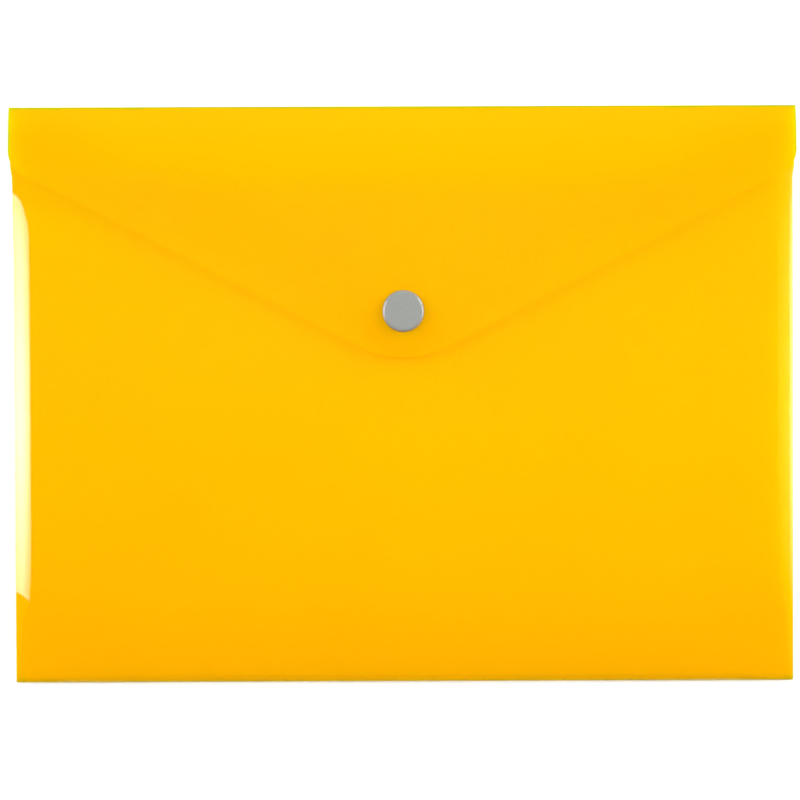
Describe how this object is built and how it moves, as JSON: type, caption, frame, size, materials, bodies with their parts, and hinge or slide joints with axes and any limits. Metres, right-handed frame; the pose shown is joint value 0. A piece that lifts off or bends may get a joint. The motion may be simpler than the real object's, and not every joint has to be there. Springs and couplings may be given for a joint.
{
  "type": "document wallet",
  "caption": "Flat welded pocket of translucent coloured sheet with a V-shaped fold-over flap that closes on a round press stud.",
  "frame": {"origin": "middle of the wallet's outline, on the surface that its back panel lies on", "axes": "+X across the wallet to the right seen from the front, +Y towards the top crease, +Z out of the front"},
  "size_m": [0.242, 0.177, 0.0087],
  "materials": {
    "sheet": "smooth translucent amber polypropylene sheet",
    "snap": "fine matt grey moulded plastic"
  },
  "bodies": {
    "pocket": {"back_panel": "sheet", "bottom_fold": "sheet", "front_foot": "sheet", "front_panel": "sheet", "left_mouth_ear": "sheet", "right_mouth_ear": "sheet", "left_side_roll": "sheet", "right_side_roll": "sheet", "left_side_weld": "sheet", "right_side_weld": "sheet", "snap_stud": "snap", "snap_rear_cap": "snap"},
    "flap_rise": {"flap_root": "sheet"},
    "flap": {"flap_panel": "sheet", "snap_cap": "snap", "snap_socket": "snap"}
  },
  "joints": [
    {"name": "flap_crease", "type": "hinge", "parent": "pocket", "child": "flap_rise", "pos_m": [0, 0.0884, 0.0003], "axis": [-1, 0, 0], "range_deg": [0, 150]},
    {"name": "flap_bend", "type": "hinge", "parent": "flap_rise", "child": "flap", "pos_m": [0, 0.0755, 0.0072], "axis": [-1, 0, 0], "range_deg": [0, 28.2]}
  ],
  "couplings": [
    {"joint": "flap_bend", "follows": "flap_crease", "ratio": 0.1876}
  ]
}
